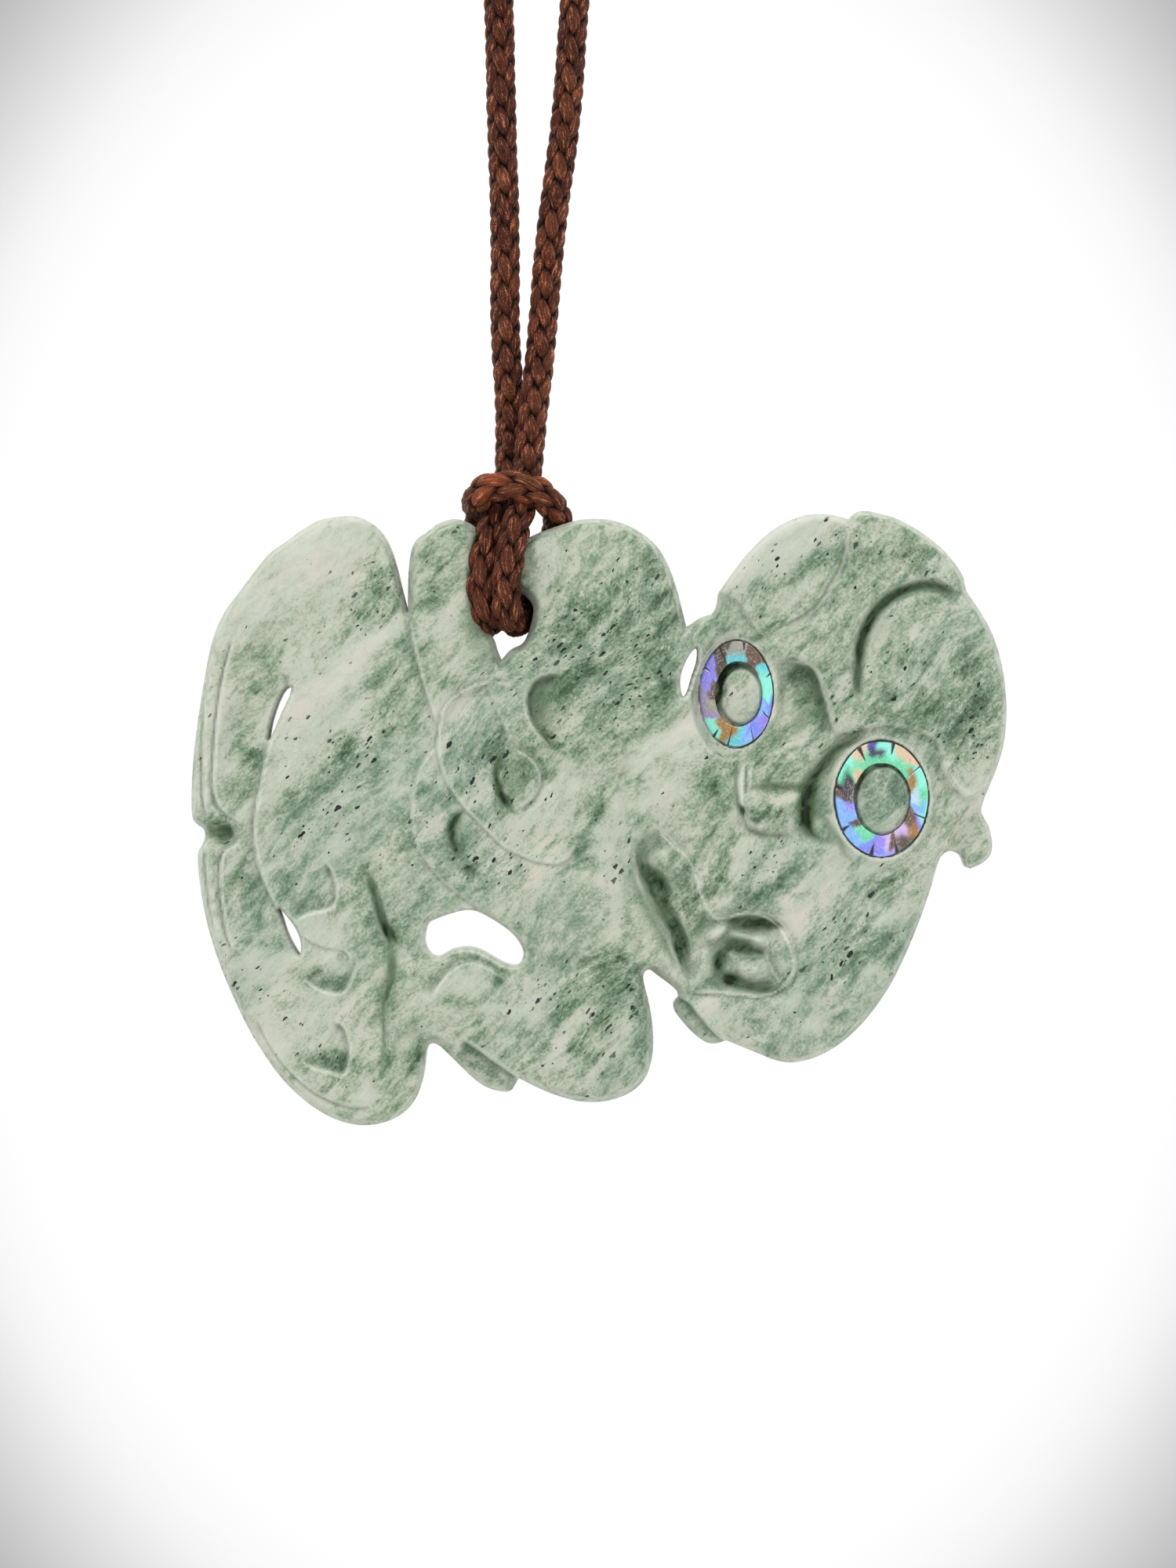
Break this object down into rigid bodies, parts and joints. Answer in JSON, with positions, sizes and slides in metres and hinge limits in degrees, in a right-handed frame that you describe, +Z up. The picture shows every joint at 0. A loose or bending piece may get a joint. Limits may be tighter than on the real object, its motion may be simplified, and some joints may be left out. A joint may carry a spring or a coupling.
{
  "type": "greenstone hei tiki pendant necklace",
  "caption": "Carved greenstone hei tiki pendant with shell-ringed eyes, hung sideways on a braided brown neck cord by a looped hitch.",
  "frame": {"origin": "underside of the cord at the top of the neck loop, where the necklace hangs", "axes": "+Z up along the hanging loop, -Y towards the viewer of the carved face, +X to the figure's head"},
  "size_m": [0.0645, 0.0115, 0.3218],
  "materials": {
    "greenstone": "satin polish",
    "shell": "iridescent gloss",
    "cord": "waxed braid"
  },
  "bodies": {
    "root": {"tiki_body": "greenstone", "eye_ring_upper": "shell", "eye_ring_lower": "shell", "hitch": "cord", "neck_cord": "cord", "cord_join": "cord"}
  },
  "joints": []
}
